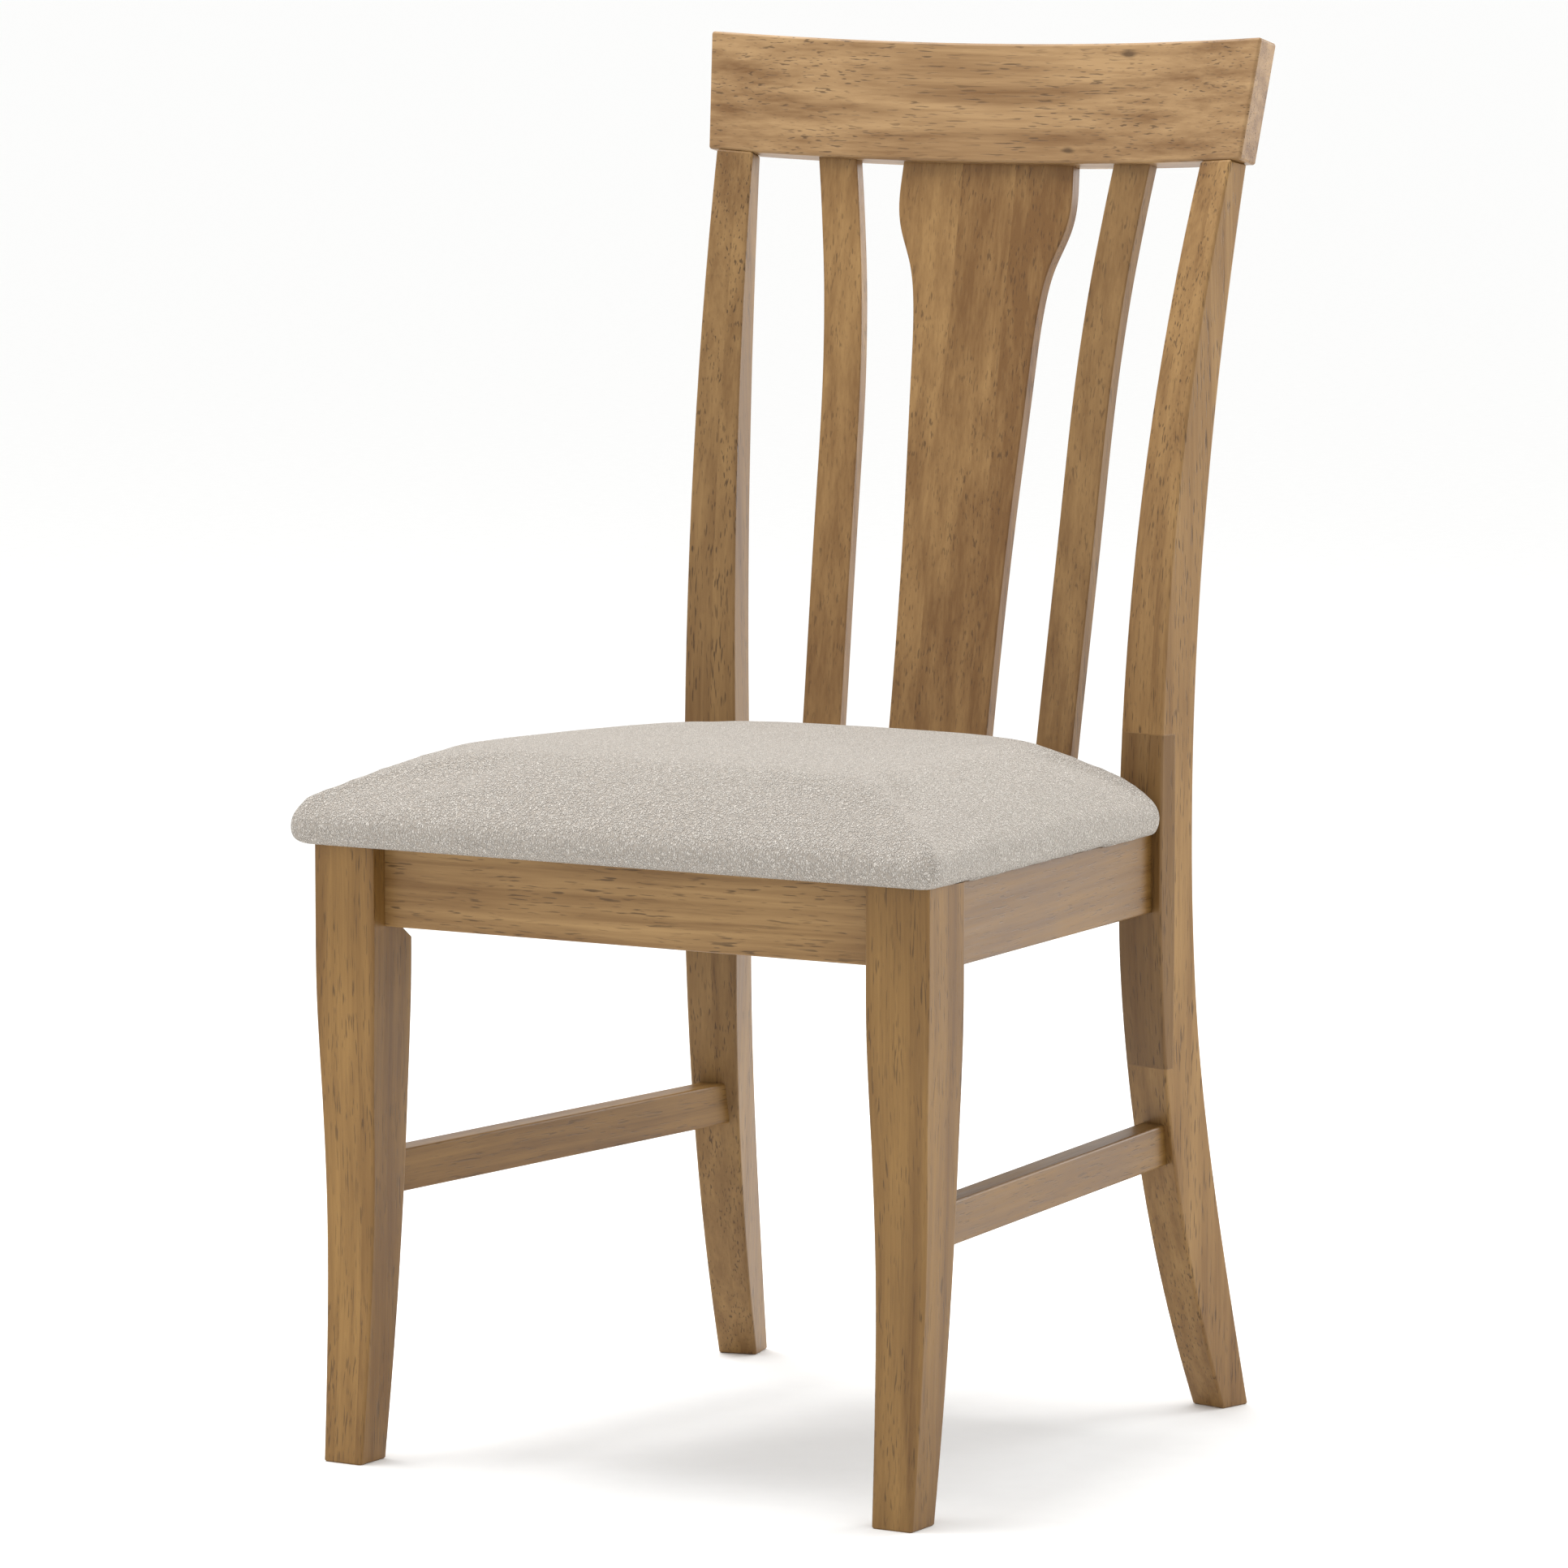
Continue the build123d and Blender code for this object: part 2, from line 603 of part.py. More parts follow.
def hanger_bolt(gap=0.0, mode=Mode.ADD):
    """The hanger bolt, from its point in the leg to its free end behind the nut."""
    length = bolt_in_leg + front_block_depth + washer_size[1] + nut_size[1] + bolt_spare
    with Locations(bolt_plane.location * Location((0, 0, length / 2 - bolt_in_leg))):
        Cylinder(bolt_size / 2 + gap, length, mode=mode)


with BuildPart() as front_corner_block:
    with BuildSketch(front_block_plane):
        Rectangle(4 * front_block_depth, front_block_depth, align=(Align.CENTER, Align.MIN))
    extrude(amount=-front_block_height)
    split(bisect_by=front_rail_face, keep=Keep.TOP)
    split(bisect_by=inner_rail_face, keep=Keep.TOP)
    hanger_bolt(bolt_clearance, Mode.SUBTRACT)
    block_screws(front_block_depth, Mode.SUBTRACT)
    seat_screws(front_block_depth, Mode.SUBTRACT)

with BuildPart() as rear_corner_block:
    with BuildSketch(rear_block_plane):
        with Locations((0, -rear_block_depth)):
            Rectangle(6 * rear_block_depth, 2 * rear_block_depth, align=(Align.CENTER, Align.MIN))
    extrude(amount=-rear_block_height)
    split(bisect_by=rear_rail_face, keep=Keep.TOP)
    split(bisect_by=inner_rail_face, keep=Keep.TOP)
    split(bisect_by=post_face, keep=Keep.TOP)
    block_screws(rear_block_depth, Mode.SUBTRACT)
    seat_screws(rear_block_depth, Mode.SUBTRACT)

with BuildPart() as hanger_bolts:
    hanger_bolt()
    mirror(about=Plane.YZ)

with BuildPart() as bolt_washers:
    with Locations(bolt_plane.location * Location((0, 0, front_block_depth + washer_size[1] / 2))):
        Cylinder(washer_size[0] / 2, washer_size[1])
    hanger_bolt(bolt_clearance, Mode.SUBTRACT)
    mirror(about=Plane.YZ)

with BuildPart() as bolt_nuts:
    with BuildSketch(Plane(bolt_plane.location * Location((0, 0, front_block_depth + washer_size[1])))):
        RegularPolygon(nut_size[0] / 2, 6, major_radius=False)
    extrude(amount=nut_size[1])
    hanger_bolt(0, Mode.SUBTRACT)
    mirror(about=Plane.YZ)

with BuildPart() as corner_block_screws:
    block_screws()
    mirror(about=Plane.YZ)

with BuildPart() as seat_fixing_screws:
    seat_screws()
    mirror(about=Plane.YZ)

with BuildPart() as frame_dowels:
    dowels()
    mirror(about=Plane.YZ)

# ---- Finished legs, posts and rails -------------------------------------------------


def post_tongue(gap=0.0, mode=Mode.ADD):
    """The tongue on top of the right-hand post, or the mortise for it in the crest rail."""
    width, thick = post_tongue_size
    behind = post_top_bow + post_high_depths[-1][1] / 2
    middle = post_side.from_local_coords(Vector(behind, crest_base_z, (post_outer[2] - post_inner[2]) / 2))
    place = Plane(middle, x_dir=post_face.x_dir, z_dir=crest_up)
    with Locations(place):
        Box(width + 2 * gap, thick + 2 * gap, 2 * tenon_length + 2 * gap, mode=mode)


with BuildPart() as front_leg:
    add(leg_blank)
    with BuildSketch(Plane((flat_x, flat_y, 0), x_dir=(-1, 1, 0), z_dir=(1, 1, 0))):
        stop_z = seat_front_z - rail_height - chamfer_below_rail
        flat_end_z = stop_z - block_chamfer
        with BuildLine():
            Polyline((0, stop_z), (block_chamfer, flat_end_z), (leg_size, flat_end_z),
                     (leg_size, seat_front_z), (0, seat_front_z), close=True)
        make_face()
    extrude(amount=leg_size, both=True, mode=Mode.SUBTRACT)
    dowels(fit_gap, Mode.SUBTRACT)
    hanger_bolt(0, Mode.SUBTRACT)
    stretcher_tenons(fit_gap, Mode.SUBTRACT)
    chamfer(front_leg.edges().group_by(Axis.Z)[0], foot_ease)

with BuildPart() as rear_post:
    add(post_blank)
    add(above_posts, mode=Mode.SUBTRACT)
    chamfer(rear_post.faces().sort_by(Axis.Z)[-1].edges(), post_top_ease)
    dowels(fit_gap, Mode.SUBTRACT)
    stretcher_tenons(fit_gap, Mode.SUBTRACT)
    post_tongue()
    chamfer(rear_post.edges().group_by(Axis.Z)[0], foot_ease)

with BuildPart() as crest_pockets:
    slat_tongues(fit_gap)
    post_tongue(fit_gap)
    mirror(about=Plane.YZ)
    splat_tongues(fit_gap)

with BuildPart() as crest_rail:
    add(crest_blank)
    add(crest_pockets, mode=Mode.SUBTRACT)

with BuildPart() as rear_cuts:
    add(post_blank)
    slat_tongues(fit_gap)
    dowels(fit_gap)
    block_screws()
    mirror(about=Plane.YZ)
    splat_tongues(fit_gap)

with BuildPart() as rear_seat_rail:
    add(rear_rail_half)
    add(rear_cuts, mode=Mode.SUBTRACT)

with BuildPart() as front_cuts:
    dowels(fit_gap)
    block_screws()
    mirror(about=Plane.YZ)

with BuildPart() as front_seat_rail:
    add(front_rail_half)
    add(front_cuts, mode=Mode.SUBTRACT)

with BuildPart() as side_rail_drilled:
    add(side_rail)
    dowels(fit_gap, Mode.SUBTRACT)
    block_screws(mode=Mode.SUBTRACT)

# ---- Upholstered seat ---------------------------------------------------------------


def seat_outline(inset, height):
    """Plan of the cushion, drawn in from its edge, at a height above the rails."""
    front = -seat_front_overhang
    front_half = leg_outer_x + seat_front_side
    rear_half = side_rail_rear_x + seat_rear_side
    rear = post_face_y(rear_half) - y_front - seat_post_gap
    middle_half = post_corner.X - seat_post_gap
    middle = post_corner.Y - y_front - seat_post_gap
    corners = [(-front_half, front), (front_half, front), (rear_half, rear),
               (middle_half, middle), (-middle_half, middle), (-rear_half, rear)]
    with BuildSketch(seat_plane.offset(height)) as outline:
        Polygon(*corners, align=None)
        fillet(outline.vertices().group_by(Axis.Y)[0], seat_front_corner)
        if inset:
            offset(amount=-inset, kind=Kind.INTERSECTION)
    return outline.sketch


with BuildPart() as board_solid:
    add(seat_outline(board_inset, cover_thick))
    extrude(amount=board_thick)

with BuildPart() as seat_board:
    add(board_solid)
    add(seat_fixing_screws, mode=Mode.SUBTRACT)

with BuildPart() as seat_filling:
    add(seat_outline(cover_thick, cover_thick))
    extrude(amount=seat_height - 2 * cover_thick)
    fillet(seat_filling.faces().sort_by(Axis.Z)[-1].edges(), seat_top_roll - cover_thick)
    fillet(seat_filling.faces().sort_by(Axis.Z)[0].edges(), seat_low_roll - cover_thick)

with BuildPart() as seat_foam:
    add(seat_filling)
    add(board_solid, mode=Mode.SUBTRACT)

with BuildPart() as seat_cover:
    add(seat_outline(0, 0))
    extrude(amount=seat_height)
    fillet(seat_cover.faces().sort_by(Axis.Z)[-1].edges(), seat_top_roll)
    fillet(seat_cover.faces().sort_by(Axis.Z)[0].edges(), seat_low_roll)
    add(seat_filling, mode=Mode.SUBTRACT)
    add(seat_outline(cover_hem, 0))
    extrude(amount=cover_thick, mode=Mode.SUBTRACT)
    add(seat_fixing_screws, mode=Mode.SUBTRACT)

with BuildPart() as dust_cover:
    with BuildSketch(seat_plane):
        front = leg_size + dust_cover_gap
        rear = y_rear_rail - y_front - dust_cover_gap
        Polygon(*[(side * (side_face_x(y_front + y) - dust_cover_gap), y) for side, y in
                  ((-1, front), (1, front), (1, rear), (-1, rear))], align=None)
    extrude(amount=-dust_cover_thick)
    add(seat_fixing_screws, mode=Mode.SUBTRACT)

# ---- Write every piece --------------------------------------------------------------

for pair, name in ((front_leg, "front_leg"), (rear_post, "rear_post"), (side_slat, "side_slat"),
                   (side_rail_drilled, "side_seat_rail"), (side_stretcher, "side_stretcher"),
                   (front_corner_block, "front_corner_block"), (rear_corner_block, "rear_corner_block")):
    with BuildPart() as twin:
        mirror(pair.part, about=Plane.YZ)
    save(pair, f"{name}_right")
    save(twin, f"{name}_left")

for piece, name in ((crest_rail, "crest_rail"), (centre_splat, "centre_splat"),
                    (front_seat_rail, "front_seat_rail"), (rear_seat_rail, "rear_seat_rail"),
                    (hanger_bolts, "hanger_bolts"), (bolt_washers, "bolt_washers"),
                    (bolt_nuts, "bolt_nuts"), (corner_block_screws, "corner_block_screws"),
                    (seat_fixing_screws, "seat_fixing_screws"), (frame_dowels, "frame_dowels"),
                    (seat_board, "seat_board"), (seat_foam, "seat_foam"),
                    (seat_cover, "seat_cover"), (dust_cover, "dust_cover")):
    save(piece, name)
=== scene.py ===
"""Looks of the dining chair: procedural wood, a simulated upholstered seat, studio light and camera."""
import math

import bpy
from mathutils import Euler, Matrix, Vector


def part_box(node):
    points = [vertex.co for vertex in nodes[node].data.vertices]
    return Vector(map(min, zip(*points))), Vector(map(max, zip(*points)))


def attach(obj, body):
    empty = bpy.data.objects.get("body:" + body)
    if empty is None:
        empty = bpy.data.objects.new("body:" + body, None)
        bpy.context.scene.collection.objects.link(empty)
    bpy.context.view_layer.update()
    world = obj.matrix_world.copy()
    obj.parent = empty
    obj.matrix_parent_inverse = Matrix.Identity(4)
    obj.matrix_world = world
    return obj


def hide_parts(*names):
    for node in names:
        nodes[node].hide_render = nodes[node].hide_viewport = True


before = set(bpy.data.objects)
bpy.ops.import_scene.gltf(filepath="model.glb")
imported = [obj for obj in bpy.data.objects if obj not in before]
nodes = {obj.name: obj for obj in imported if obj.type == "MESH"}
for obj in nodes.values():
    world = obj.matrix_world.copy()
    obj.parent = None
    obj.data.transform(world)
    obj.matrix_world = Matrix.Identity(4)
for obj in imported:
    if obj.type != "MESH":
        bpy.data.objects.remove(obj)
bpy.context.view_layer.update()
scene = bpy.context.scene


# ---- Shader helpers -----------------------------------------------------------------

class Shader:
    """A material under construction: add() makes a node and wires its inputs."""

    def __init__(self, name):
        self.mat = bpy.data.materials.new(name)
        self.mat.use_nodes = True
        self.tree = self.mat.node_tree
        self.tree.nodes.clear()
        self.out = self.tree.nodes.new("ShaderNodeOutputMaterial")

    def add(self, kind, inputs=None, **settings):
        node = self.tree.nodes.new("ShaderNode" + kind)
        for key, value in settings.items():
            setattr(node, key, value)
        for key, value in (inputs or {}).items():
            self.put(node, key, value)
        return node

    def put(self, node, key, value):
        socket = node.inputs[key]
        if isinstance(value, bpy.types.NodeSocket):
            self.tree.links.new(value, socket)
        else:
            socket.default_value = value

    def math(self, kind, *values, clamp=False):
        return self.add("Math", dict(enumerate(values)), operation=kind, use_clamp=clamp).outputs[0]

    def band(self, value, low, high, to_low=0.0, to_high=1.0):
        """value's range low..high spread smoothly over to_low..to_high."""
        node = self.add("MapRange", {"Value": value, "From Min": low, "From Max": high,
                                     "To Min": to_low, "To Max": to_high}, interpolation_type="SMOOTHSTEP")
        return node.outputs[0]

    def blend(self, factor, one, two):
        """Colour one turned into colour two by factor."""
        node = self.add("Mix", data_type="RGBA")
        self.put(node, 0, factor)
        self.put(node, 6, one)
        self.put(node, 7, two)
        return node.outputs[2]

    def stretch(self, vector, across, along):
        """Coordinates for a pattern drawn out along local Z."""
        return self.add("Mapping", {"Vector": vector, "Scale": (across, across, along)}).outputs[0]

    def noise(self, vector, scale, detail=2.0, rough=0.5, twist=0.0):
        node = self.add("TexNoise", {"Vector": vector, "Scale": scale, "Detail": detail,
                                     "Roughness": rough, "Distortion": twist})
        return node.outputs[0]

    def finish(self, color, rough, normal, **sockets):
        bsdf = self.add("BsdfPrincipled", {"Base Color": color, "Roughness": rough,
                                           "Normal": normal, **sockets})
        self.tree.links.new(bsdf.outputs[0], self.out.inputs[0])
        return self.mat


def srgb(r, g, b):
    """0..255 display values as the linear colour that a shader takes."""
    def lin(c):
        c /= 255
        return c / 12.92 if c <= 0.04045 else ((c + 0.055) / 1.055) ** 2.4
    return (lin(r), lin(g), lin(b), 1.0)


# ---- Wood ---------------------------------------------------------------------------

STRIP_JUMP = 0.37                    # the grain starts again this far along at each glue line
PATCH_JUMP = 0.83                    # and this far along inside a patch
PATCH_EDGE = 0.0012


def wood(name, tones, turn=(0, 0, 0), shift=(0, 0, 0), strips=(), pores=1.0, figure=1.0, knots=(),
         patch=None):
    """Oiled hardwood whose grain runs along the local Z axis that turn leaves.

    tones is (light, dark). strips is (local x, tone step) at each glue line. knots are (place, radius).
    patch is the box of a darker glued piece, as (local lowest corner, local highest corner).
    """
    light, dark = tones
    s = Shader(name)
    place = s.add("TexCoord").outputs["Object"]
    local = s.add("Mapping", {"Vector": place, "Rotation": turn}, vector_type="TEXTURE").outputs[0]
    x, y, z = s.add("SeparateXYZ", {0: local}).outputs
    step, tilt = 0.0, 0.0
    for edge, change in strips:
        past = s.math("GREATER_THAN", x, edge)
        step = s.math("MULTIPLY_ADD", past, change, step)
        tilt = s.math("MULTIPLY_ADD", past, STRIP_JUMP, tilt)
    if strips:
        z = s.math("ADD", z, tilt)
    if patch:
        inside = 1.0
        for value, low, high in zip(s.add("SeparateXYZ", {0: local}).outputs, *patch):
            inside = s.math("MULTIPLY", inside, s.band(value, low, low + PATCH_EDGE))
            inside = s.math("MULTIPLY", inside, s.band(value, high - PATCH_EDGE, high, 1.0, 0.0))
        z = s.math("MULTIPLY_ADD", inside, PATCH_JUMP, z)
    moved = s.add("CombineXYZ", {0: s.math("ADD", x, shift[0]), 1: s.math("ADD", y, shift[1]),
                                 2: s.math("ADD", z, shift[2])})
    local = moved.outputs[0]
    # Slow wander of the grain, so that its lines drift instead of running dead straight.
    wander = s.noise(s.stretch(local, 7, 2.2), 1.0, 2.0)
    drift = s.math("MULTIPLY", s.math("SUBTRACT", wander, 0.5), 0.016)
    push = s.add("CombineXYZ", {0: drift, 1: drift, 2: 0.0}).outputs[0]
    bent = s.add("VectorMath", {0: local, 1: push}, operation="ADD").outputs[0]
    # Growth lines: long streaks, coarse and fine.
    coarse = s.noise(s.stretch(bent, 85, 2.4), 1.0, 3.0, 0.55)
    fine = s.noise(s.stretch(bent, 430, 11), 1.0, 3.0, 0.6)
    cloud = s.noise(s.stretch(local, 14, 6), 1.0, 3.0, 0.55)
    tone = s.math("MULTIPLY", s.math("SUBTRACT", coarse, 0.5), 1.5 * figure)
    tone = s.math("MULTIPLY_ADD", s.math("SUBTRACT", fine, 0.5), 0.7, tone)
    tone = s.math("MULTIPLY_ADD", s.math("SUBTRACT", cloud, 0.5), 1.1, tone)
    tone = s.math("ADD", tone, 0.5)
    if strips:
        tone = s.math("ADD", tone, step)
    color = s.blend(s.math("ADD", tone, 0.0, clamp=True), dark, light)
    deep = [c * 0.34 for c in dark[:3]] + [1]
    if patch:
        color = s.blend(s.math("MULTIPLY", inside, 0.5), color, [c * 0.62 for c in dark[:3]] + [1])
    # Pores: short dark dashes that lie along the grain.
    dash = s.noise(s.stretch(bent, 800, 60), 1.0, 1.0, 0.4)
    field = s.noise(s.stretch(bent, 70, 16), 1.0, 2.0)
    pore = s.math("MULTIPLY", s.band(dash, 0.59, 0.69), s.band(field, 0.36, 0.60, 0.2, 1.0))
    color = s.blend(s.math("MULTIPLY", pore, 0.6 * pores, clamp=True), color, deep)
    for spot, size in knots:
        gap = s.add("VectorMath", {0: place, 1: spot}, operation="SUBTRACT").outputs[0]
        gap = s.add("VectorMath", {0: gap, 1: (0.45, 0.3, 1.0)}, operation="MULTIPLY").outputs[0]
        gap = s.add("VectorMath", {0: gap}, operation="LENGTH").outputs["Value"]
        gap = s.math("MULTIPLY_ADD", s.math("SUBTRACT", fine, 0.5), size, gap)
        color = s.blend(s.band(gap, size * 0.2, size, 0.8, 0.0), color, deep)
    wear = s.math("ADD", s.math("MULTIPLY", fine, 0.6), s.math("MULTIPLY", cloud, 0.4))
    rough = s.band(wear, 0.2, 0.8, 0.34, 0.52)
    height = s.math("SUBTRACT", s.math("MULTIPLY", fine, 0.35), pore)
    bump = s.add("Bump", {"Strength": 0.30, "Distance": 0.0004, "Height": height}).outputs[0]
    return s.finish(color, rough, bump, **{"Specular IOR Level": 0.32})


BACK_TONES = srgb(152, 118, 72), srgb(108, 75, 37)
LEG_TONES = srgb(144, 109, 59), srgb(101, 69, 29)
APRON_TONES = srgb(160, 127, 82), srgb(111, 79, 41)
CREST_TONES = srgb(161, 129, 89), srgb(112, 80, 46)


def shaded_tones(tones, factor):
    """The same two colours made darker: painted shade for pieces that get less light."""
    return [[c * factor for c in tone[:3]] + [1] for tone in tones]


def paint(name, material):
    """The CAD node keeps its mesh and gets this material."""
    data = nodes[name].data
    data.materials.clear()
    data.materials.append(material)
    for face in data.polygons:
        face.material_index = 0


leg_low, leg_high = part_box("front_leg_right")
LEG_SIZE = leg_high.x - leg_low.x
LEG_X = leg_high.x - LEG_SIZE / 2
# The side rails start at the legs' rear faces, so the legs' front faces at the seat are here.
LEG_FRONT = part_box("side_seat_rail_right")[0].y - LEG_SIZE
POST_X, POST_FRONT = 0.188, LEG_FRONT + 0.4284

ALONG_X = (0, math.radians(90), 0)
POST_TURN = math.radians(13.2)
RAIL_RUN = math.radians(7.6)         # the side rails and stretchers close in towards the back
STRETCHER_RUN = math.radians(5.2)

for side, sign in (("left", -1), ("right", 1)):
    seed = 2.1 if side == "left" else 3.8
    # Painted shade: the right-hand front leg, stretcher and slat and the left-hand post get darker copies
    # of their tones.
    leg_tones = shaded_tones(LEG_TONES, 1.0 if sign < 0 else 0.90)
    stretcher_tones = shaded_tones(LEG_TONES, 1.0 if sign < 0 else 0.85)
    slat_tones = shaded_tones(BACK_TONES, 1.0 if sign < 0 else 0.86)
    post_tones = shaded_tones(BACK_TONES, 0.84 if sign < 0 else 1.0)
    leg_strips = [(sign * LEG_X - 0.0075, 0.20), (sign * LEG_X + 0.0105, -0.24)]
    paint(f"front_leg_{side}", wood(f"wood_leg_{side}", leg_tones, shift=(seed, 0.3, 0), strips=leg_strips))
    # In the post's own axes its front face is at this local place.
    face_x = sign * (POST_X * math.cos(POST_TURN) - POST_FRONT * math.sin(POST_TURN))
    face_y = POST_X * math.sin(POST_TURN) + POST_FRONT * math.cos(POST_TURN)
    patch = None
    if sign > 0:
        patch = ((face_x - 0.03, face_y - 0.02, 0.262), (face_x + 0.03, face_y + 0.016, 0.510))
    paint(f"rear_post_{side}", wood(f"wood_post_{side}", post_tones, turn=(0, 0, -POST_TURN * sign),
                                    shift=(seed, 1.1, 0.4), pores=1.25, patch=patch,
                                    strips=[(face_x + 0.004, 0.10)]))
    rail_turn = (math.radians(-90), 0, RAIL_RUN * sign)
    # Painted shade: the side rails get the legs' tones made darker.
    paint(f"side_seat_rail_{side}", wood(f"wood_side_rail_{side}", shaded_tones(LEG_TONES, 0.85), turn=rail_turn,
                                         shift=(seed, 0.7, 0.2), pores=0.7))
    stretcher_turn = (math.radians(-90), 0, STRETCHER_RUN * sign)
    paint(f"side_stretcher_{side}", wood(f"wood_stretcher_{side}", stretcher_tones, turn=stretcher_turn,
                                         shift=(seed, 2.3, 0.5), pores=0.8))
    paint(f"side_slat_{side}", wood(f"wood_slat_{side}", slat_tones, shift=(seed, 0.9, 1.2), pores=0.8))
    for place in ("front", "rear"):
        paint(f"{place}_corner_block_{side}", wood(f"wood_block_{place}_{side}", BACK_TONES, turn=ALONG_X,
                                                   shift=(seed, 1.9, 0.6), figure=1.4))
CREST_KNOTS = [((0.1173, POST_FRONT + 0.1015, 1.0015), 0.0045),
               ((0.0723, POST_FRONT + 0.0905, 0.9303), 0.0035)]
SPLAT_STRIPS = [(-0.021, -0.16), (0.025, -0.22)]
paint("crest_rail", wood("wood_crest", CREST_TONES, turn=ALONG_X, shift=(2.0, 0.2, 0.9), figure=1.5,
                         pores=1.2, knots=CREST_KNOTS))
paint("centre_splat", wood("wood_splat", BACK_TONES, shift=(3.4, 0.5, 0.1), strips=SPLAT_STRIPS))
paint("front_seat_rail", wood("wood_front_rail", APRON_TONES, turn=ALONG_X, shift=(2.0, 1.4, 0.3),
                              pores=1.2, figure=1.4))
paint("rear_seat_rail", wood("wood_rear_rail", BACK_TONES, turn=ALONG_X, shift=(2.0, 2.4, 0.3)))
paint("frame_dowels", wood("wood_dowels", BACK_TONES, turn=ALONG_X, shift=(2.0, 0.4, 0.3)))


# ---- Hidden materials ---------------------------------------------------------------

def steel(name, color, rough):
    s = Shader(name)
    place = s.add("TexCoord").outputs["Object"]
    grit = s.noise(place, 1800.0, 3.0)
    bump = s.add("Bump", {"Strength": 0.2, "Distance": 0.0002, "Height": grit}).outputs[0]
    shade = s.blend(s.band(s.noise(place, 120.0, 2.0), 0.3, 0.7), color, [c * 0.7 for c in color[:3]] + [1])
    return s.finish(shade, s.band(grit, 0.2, 0.8, rough, rough + 0.15), bump, Metallic=1.0)


zinc = steel("zinc_steel", srgb(186, 188, 190), 0.28)
for name in ("hanger_bolts", "bolt_washers", "bolt_nuts"):
    paint(name, zinc)
black = steel("black_steel", srgb(60, 60, 62), 0.4)
for name in ("corner_block_screws", "seat_fixing_screws"):
    paint(name, black)


def plywood():
    s = Shader("plywood")
    place = s.add("TexCoord").outputs["Object"]
    z = s.add("SeparateXYZ", {0: place}).outputs[2]
    ply = s.math("PINGPONG", z, 0.0015)
    grain = s.noise(s.add("Mapping", {"Vector": place, "Scale": (5, 120, 120)}).outputs[0], 1.0, 4.0)
    color = s.blend(s.band(ply, 0.0, 0.0015), srgb(196, 160, 112), srgb(150, 112, 72))
    color = s.blend(s.math("MULTIPLY", grain, 0.5), color, srgb(128, 92, 58))
    bump = s.add("Bump", {"Strength": 0.3, "Distance": 0.0004, "Height": grain}).outputs[0]
    return s.finish(color, s.band(grain, 0.2, 0.8, 0.6, 0.8), bump)


def cambric():
    """Thin black non-woven cloth."""
    s = Shader("cambric")
    place = s.add("TexCoord").outputs["Object"]
    cloth = s.add("Mapping", {"Vector": place, "Scale": (900, 500, 700)}).outputs[0]
    fibre = s.noise(cloth, 1.0, 3.0, 0.6, 1.5)
    color = s.blend(s.band(fibre, 0.35, 0.7), srgb(24, 24, 25), srgb(52, 52, 54))
    bump = s.add("Bump", {"Strength": 0.5, "Distance": 0.0004, "Height": fibre}).outputs[0]
    return s.finish(color, s.band(fibre, 0.3, 0.7, 0.85, 0.95), bump)


paint("seat_board", plywood())
paint("dust_cover", cambric())


# ---- Tweed --------------------------------------------------------------------------

def tweed():
    """Nubby oatmeal cloth: short looped yarns, a few darker and a few lighter."""
    s = Shader("tweed")
    place = s.add("TexCoord").outputs["Object"]
    warp = s.add("TexNoise", {"Vector": place, "Scale": 260.0, "Detail": 2.0})
    centred = {0: warp.outputs["Color"], 1: (0.5, 0.5, 0.5)}
    twist = s.add("VectorMath", centred, operation="SUBTRACT").outputs[0]
    twist = s.add("VectorMath", {0: twist, "Scale": 0.0022}, operation="SCALE").outputs[0]
    bent = s.add("VectorMath", {0: place, 1: twist}, operation="ADD").outputs[0]
    grid = s.add("Mapping", {"Vector": bent, "Scale": (760, 760, 540)}).outputs[0]
    nub = s.add("TexVoronoi", {"Vector": grid, "Scale": 1.0, "Randomness": 1.0})
    lump = s.band(nub.outputs["Distance"], 0.0, 0.72, 1.0, 0.0)
    fuzz = s.noise(bent, 1500.0, 3.0, 0.6)
    patch = s.noise(place, 14.0, 3.0, 0.5)
    yarn = s.add("SeparateColor", {0: nub.outputs["Color"]}).outputs[0]
    color = s.blend(s.band(yarn, 0.0, 1.0), srgb(214, 205, 194), srgb(242, 235, 225))
    color = s.blend(s.band(yarn, 0.88, 0.95, 0.0, 0.5), color, srgb(186, 173, 158))
    # Painted shade: the gaps between the nubs are darkened towards srgb(120, 111, 101).
    color = s.blend(s.band(lump, 0.0, 0.50, 0.70, 0.0), color, srgb(120, 111, 101))
    color = s.blend(s.band(patch, 0.3, 0.7, 0.0, 0.12), color, srgb(190, 181, 170))
    height = s.math("ADD", s.math("MULTIPLY", lump, 1.0), s.math("MULTIPLY", fuzz, 0.35))
    bump = s.add("Bump", {"Strength": 1.0, "Distance": 0.0021, "Height": height}).outputs[0]
    return s.finish(color, s.band(fuzz, 0.3, 0.7, 0.86, 0.97), bump,
                    **{"Sheen Weight": 0.15, "Sheen Roughness": 0.5, "Specular IOR Level": 0.2})


# ---- Upholstered seat ---------------------------------------------------------------

SEAT_SLOPE = math.radians(1.35)      # the rails fall towards the back
SEAT_Z = leg_high.z                  # top of the legs at their front face


def seat_point(x, y, h):
    """Seat coordinates (across, back from the legs' front face, above the rails) in the row frame."""
    return Vector((x, LEG_FRONT + y * math.cos(SEAT_SLOPE) + h * math.sin(SEAT_SLOPE),
                   SEAT_Z - y * math.sin(SEAT_SLOPE) + h * math.cos(SEAT_SLOPE)))


